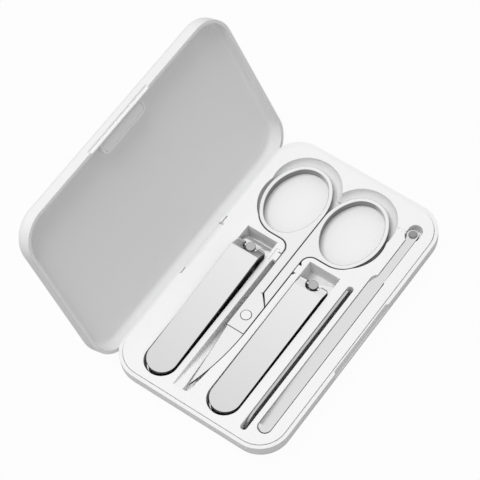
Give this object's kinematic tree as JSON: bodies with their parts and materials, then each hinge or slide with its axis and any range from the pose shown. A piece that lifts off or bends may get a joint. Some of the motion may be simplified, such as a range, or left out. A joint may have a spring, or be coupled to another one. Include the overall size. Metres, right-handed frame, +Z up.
{
  "type": "manicure set case",
  "caption": "Open pocket manicure case in white plastic: steel nail clippers, small scissors, a nail file and an ear pick lie in a moulded tray under a hinged lid.",
  "frame": {"origin": "centre of the flat underside of the base", "axes": "+X across the case from the hinge to the opening side, +Y along the hinge, +Z up; lid drawn open as pictured"},
  "size_m": [0.1056, 0.115, 0.0701],
  "materials": {
    "case_white": "fine satin, moulded",
    "tray_white": "fine satin, moulded",
    "cover_white": "smooth",
    "magnet": "nickel plated",
    "steel_satin": "satin brushed along its length",
    "steel_polished": "polished"
  },
  "bodies": {
    "case": {"base_shell": "case_white", "tray_insert": "tray_white", "hinge_pin": "steel_satin", "base_magnet": "magnet"},
    "lid": {"lid_shell": "case_white", "lid_magnet": "magnet", "magnet_cover": "cover_white"},
    "clipper_a": {"clipper_a_lower_jaw": "steel_satin", "clipper_a_post": "steel_polished", "clipper_a_tail_rivet": "steel_polished", "clipper_a_fulcrum_pin": "steel_polished"},
    "clipper_a_spring_jaw": {"clipper_a_upper_jaw": "steel_satin"},
    "clipper_a_handle": {"clipper_a_lever": "steel_satin"},
    "clipper_b": {"clipper_b_lower_jaw": "steel_satin", "clipper_b_post": "steel_polished", "clipper_b_tail_rivet": "steel_polished", "clipper_b_fulcrum_pin": "steel_polished"},
    "clipper_b_spring_jaw": {"clipper_b_upper_jaw": "steel_satin"},
    "clipper_b_handle": {"clipper_b_lever": "steel_satin"},
    "scissors_pivot": {"scissors_pivot_screw": "steel_polished"},
    "scissors_left": {"scissors_left_half": "steel_satin"},
    "scissors_right": {"scissors_right_half": "steel_satin"},
    "file": {"nail_file": "steel_satin"},
    "pick": {"ear_pick": "steel_satin"}
  },
  "joints": [
    {"name": "lid_hinge", "type": "hinge", "parent": "case", "child": "lid", "pos_m": [-0.0336, 0, 0.0075], "axis": [0, -1, 0], "range_deg": [-113.4, 0]},
    {"name": "clipper_a_lift", "type": "slide", "parent": "case", "child": "clipper_a", "axis": [0, 0, 1], "range_m": [0, 0.04]},
    {"name": "clipper_a_squeeze", "type": "hinge", "parent": "clipper_a", "child": "clipper_a_spring_jaw", "pos_m": [-0.01865, -0.0458, 0.00543], "axis": [-1, 0, 0], "range_deg": [0, 1.2], "stiffness_Nm_per_rad": 0.5, "springref_deg": -5.73},
    {"name": "clipper_a_lever_turn", "type": "hinge", "parent": "clipper_a", "child": "clipper_a_handle", "pos_m": [-0.01865, 0.008, 0.0114], "axis": [-1, 0, 0], "range_deg": [0, 95]},
    {"name": "clipper_b_lift", "type": "slide", "parent": "case", "child": "clipper_b", "axis": [0, 0, 1], "range_m": [0, 0.04]},
    {"name": "clipper_b_squeeze", "type": "hinge", "parent": "clipper_b", "child": "clipper_b_spring_jaw", "pos_m": [0.0092, -0.0458, 0.00543], "axis": [-1, 0, 0], "range_deg": [0, 1.2], "stiffness_Nm_per_rad": 0.5, "springref_deg": -5.73},
    {"name": "clipper_b_lever_turn", "type": "hinge", "parent": "clipper_b", "child": "clipper_b_handle", "pos_m": [0.0092, 0.008, 0.0102], "axis": [-1, 0, 0], "range_deg": [0, 95]},
    {"name": "scissors_lift", "type": "slide", "parent": "case", "child": "scissors_pivot", "axis": [0, 0, 1], "range_m": [0, 0.12]},
    {"name": "scissors_left_turn", "type": "hinge", "parent": "scissors_pivot", "child": "scissors_left", "pos_m": [-0.00415, -0.0152, 0.0093], "axis": [0, 0, 1], "range_deg": [0, 15]},
    {"name": "scissors_right_turn", "type": "hinge", "parent": "scissors_pivot", "child": "scissors_right", "pos_m": [-0.00415, -0.0152, 0.0093], "axis": [0, 0, -1], "range_deg": [0, 15]},
    {"name": "file_lift", "type": "slide", "parent": "case", "child": "file", "axis": [0, 0, 1], "range_m": [0, 0.04]},
    {"name": "pick_lift", "type": "slide", "parent": "case", "child": "pick", "axis": [0, 0, 1], "range_m": [0, 0.04]}
  ],
  "couplings": [
    {"joint": "scissors_left_turn", "follows": "scissors_lift", "rad_per_m": 2.1814},
    {"joint": "scissors_right_turn", "follows": "scissors_lift", "rad_per_m": 2.1814}
  ]
}
